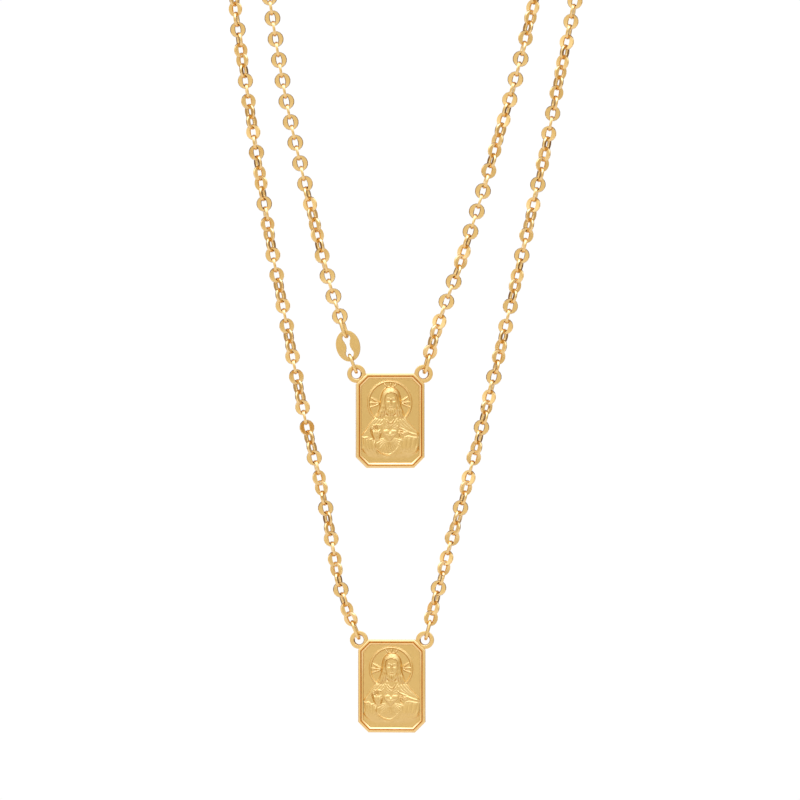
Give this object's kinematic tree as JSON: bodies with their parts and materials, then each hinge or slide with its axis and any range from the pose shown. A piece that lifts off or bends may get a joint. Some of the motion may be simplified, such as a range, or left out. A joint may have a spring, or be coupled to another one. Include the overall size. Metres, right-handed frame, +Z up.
{
  "type": "scapular necklace",
  "caption": "Gold scapular necklace: cut-corner devotional medals joined by cable chains into one endless loop, with a bare oval tag, hanging folded over a slim rail.",
  "frame": {"origin": "on the crest of the rail that the loop hangs over, midway between the chains", "axes": "+Z up, -Y towards the front medal's relief, +X to the right of someone who faces it"},
  "size_m": [0.067, 0.0256, 0.1704],
  "materials": {
    "cast_gold": "polished rim, sand-matted field and relief",
    "brushed_gold": "brushed",
    "polished_gold": "polished"
  },
  "bodies": {
    "chain_loop": {"left_chain": "polished_gold", "right_chain": "polished_gold", "oval_tag": "brushed_gold", "tag_lower_link": "polished_gold", "tag_upper_link": "polished_gold", "upper_right_jump_link": "polished_gold", "lower_left_jump_link": "polished_gold", "lower_right_jump_link": "polished_gold", "upper_left_link_1": "polished_gold", "upper_left_link_2": "polished_gold", "upper_left_link_3": "polished_gold", "upper_left_link_4": "polished_gold", "upper_left_link_5": "polished_gold", "upper_left_link_6": "polished_gold", "upper_right_link_1": "polished_gold", "upper_right_link_2": "polished_gold", "upper_right_link_3": "polished_gold", "upper_right_link_4": "polished_gold", "upper_right_link_5": "polished_gold", "upper_right_link_6": "polished_gold", "lower_left_link_1": "polished_gold", "lower_left_link_2": "polished_gold", "lower_left_link_3": "polished_gold", "lower_left_link_4": "polished_gold", "lower_left_link_5": "polished_gold", "lower_left_link_6": "polished_gold", "lower_right_link_1": "polished_gold", "lower_right_link_2": "polished_gold", "lower_right_link_3": "polished_gold", "lower_right_link_4": "polished_gold", "lower_right_link_5": "polished_gold", "lower_right_link_6": "polished_gold"},
    "upper_medal": {"upper_medal": "cast_gold"},
    "lower_medal": {"lower_medal": "cast_gold"}
  },
  "joints": [
    {"name": "upper_medal_swing", "type": "hinge", "parent": "chain_loop", "child": "upper_medal", "pos_m": [-0.00337, -0.01113, -0.11407], "axis": [0.9925, 0.1219, 0], "range_deg": [-45, 45]},
    {"name": "lower_medal_swing", "type": "hinge", "parent": "chain_loop", "child": "lower_medal", "pos_m": [-0.0031, 0.01113, -0.15353], "axis": [0.9925, -0.1219, 0], "range_deg": [-45, 45]}
  ]
}
